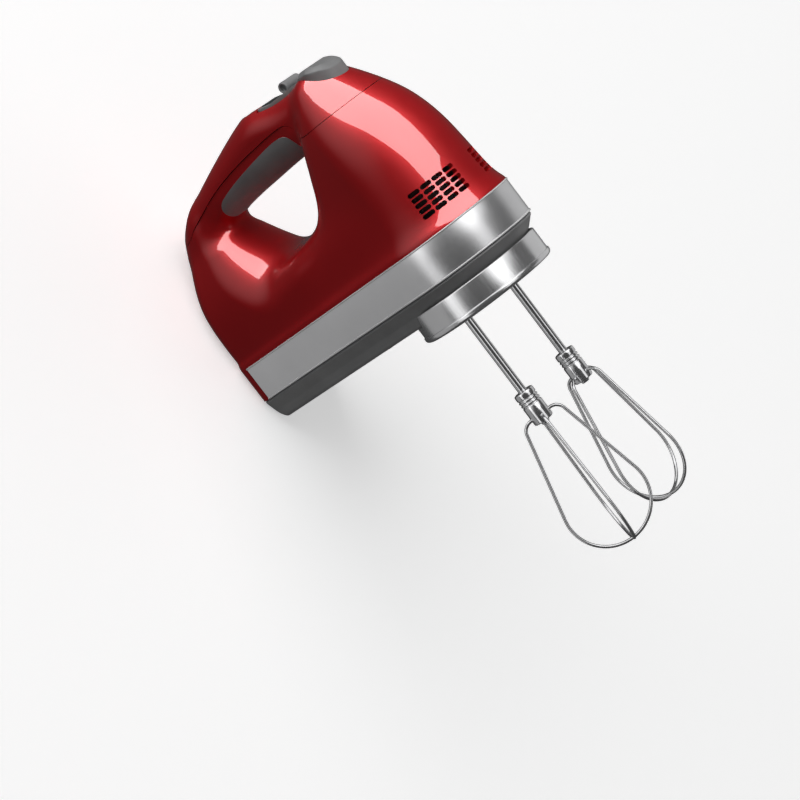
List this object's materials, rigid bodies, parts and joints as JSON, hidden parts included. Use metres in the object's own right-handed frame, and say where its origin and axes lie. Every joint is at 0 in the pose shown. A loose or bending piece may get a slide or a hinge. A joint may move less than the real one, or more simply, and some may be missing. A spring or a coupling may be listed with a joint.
{
  "type": "hand mixer",
  "caption": "Hand mixer standing on its heel: red housing with a closed handle, silver band and plate, and two wire beaters that spin together and pull out.",
  "frame": {"origin": "centre of the footprint's bounding box on the surface the heel stands on", "axes": "+X the way the beaters point, +Z from the heel to the nose, Y across the mixer"},
  "size_m": [0.3072, 0.0917, 0.203],
  "materials": {
    "red_gloss": "deep red high-gloss moulded housing",
    "grip_rubber": "matte soft-touch grip",
    "trim_steel": "satin silver trim",
    "base_plastic": "satin dark grey",
    "plate_metal": "satin chrome",
    "control_grey": "mid grey satin",
    "panel_grey": "light grey satin",
    "window": "smoked window",
    "vent_black": "black matte",
    "gland_rubber": "black rubber",
    "screw_steel": "zinc-plated",
    "beater_steel": "polished stainless steel",
    "inner_plastic": "natural nylon",
    "spring_steel": "bright wire",
    "board_green": "circuit board",
    "black_plastic": "black moulded",
    "motor_steel": "zinc-plated sheet",
    "magnet_dark": "dark ferrite",
    "carbon": "carbon",
    "copper": "enamelled copper",
    "bush_bronze": "oil-filled bronze",
    "shaft_steel": "ground steel",
    "case_metal": "die-cast"
  },
  "bodies": {
    "housing": {"body_shell": "red_gloss", "handle_cover": "red_gloss", "grip_insert": "grip_rubber", "trim_band": "trim_steel", "base_cover": "base_plastic", "base_screw_1": "screw_steel", "base_screw_2": "screw_steel", "base_screw_3": "screw_steel", "base_screw_4": "screw_steel", "beater_plate": "plate_metal", "vent_grille_left": "vent_black", "vent_grille_right": "vent_black", "cord_gland": "gland_rubber", "ejector_guide": "inner_plastic", "ejector_spring": "spring_steel", "control_panel": "panel_grey", "display_window": "window", "control_board": "board_green", "switch_block": "black_plastic", "speed_button_spring": "spring_steel", "motor_can": "motor_steel", "magnet_upper": "magnet_dark", "magnet_lower": "magnet_dark", "rear_bearing": "bush_bronze", "front_bearing": "bush_bronze", "nose_bearing": "bush_bronze", "motor_bracket": "motor_steel", "brush_left": "carbon", "brush_right": "carbon", "brush_holder_left": "black_plastic", "brush_holder_right": "black_plastic", "gear_case": "case_metal", "gear_cover": "case_metal", "bush_lower_left": "bush_bronze", "bush_lower_right": "bush_bronze", "bush_upper_left": "bush_bronze", "bush_upper_right": "bush_bronze"},
    "armature": {"armature_shaft": "shaft_steel", "armature_core": "motor_steel", "winding_rear": "copper", "winding_front": "copper", "commutator": "copper", "cooling_fan": "inner_plastic", "worm": "shaft_steel"},
    "gear_left": {"worm_wheel_left": "inner_plastic", "spindle_left": "shaft_steel"},
    "gear_right": {"worm_wheel_right": "inner_plastic", "spindle_right": "shaft_steel"},
    "beater_left": {"beater_shaft_left": "beater_steel", "beater_collar_left": "beater_steel", "beater_wires_left": "beater_steel"},
    "beater_right": {"beater_shaft_right": "beater_steel", "beater_collar_right": "beater_steel", "beater_wires_right": "beater_steel"},
    "ejector": {"ejector_button": "control_grey", "ejector_rod": "inner_plastic", "ejector_fork": "inner_plastic"},
    "power_switch": {"power_switch": "control_grey"},
    "speed_button": {"speed_button": "control_grey"}
  },
  "joints": [
    {"name": "armature_spin", "type": "hinge", "parent": "housing", "child": "armature", "pos_m": [-0.03578, -0.00292, 0.1], "axis": [0, 0, 1], "continuous": true},
    {"name": "gear_left_spin", "type": "hinge", "parent": "housing", "child": "gear_left", "pos_m": [-0.03578, 0.02068, 0.156], "axis": [-1, 0, 0], "continuous": true},
    {"name": "gear_right_spin", "type": "hinge", "parent": "housing", "child": "gear_right", "pos_m": [-0.03578, -0.02652, 0.156], "axis": [-1, 0, 0], "continuous": true},
    {"name": "beater_left_pull", "type": "slide", "parent": "gear_left", "child": "beater_left", "axis": [1, 0, 0], "range_m": [0, 0.047]},
    {"name": "beater_right_pull", "type": "slide", "parent": "gear_right", "child": "beater_right", "axis": [1, 0, 0], "range_m": [0, 0.047]},
    {"name": "ejector_press", "type": "slide", "parent": "housing", "child": "ejector", "axis": [1, 0, 0], "range_m": [0, 0.006], "stiffness_N_per_m": 600, "springref_m": -0.006, "deforming": ["ejector_spring"]},
    {"name": "power_slide", "type": "slide", "parent": "housing", "child": "power_switch", "axis": [0, 0, 1], "range_m": [0, 0.004]},
    {"name": "speed_press", "type": "slide", "parent": "housing", "child": "speed_button", "axis": [1, 0, 0], "range_m": [0, 0.0012], "stiffness_N_per_m": 800, "springref_m": -0.001, "deforming": ["speed_button_spring"]}
  ],
  "couplings": [
    {"joint": "gear_left_spin", "follows": "armature_spin", "ratio": -0.041667},
    {"joint": "gear_right_spin", "follows": "armature_spin", "ratio": 0.041667}
  ]
}
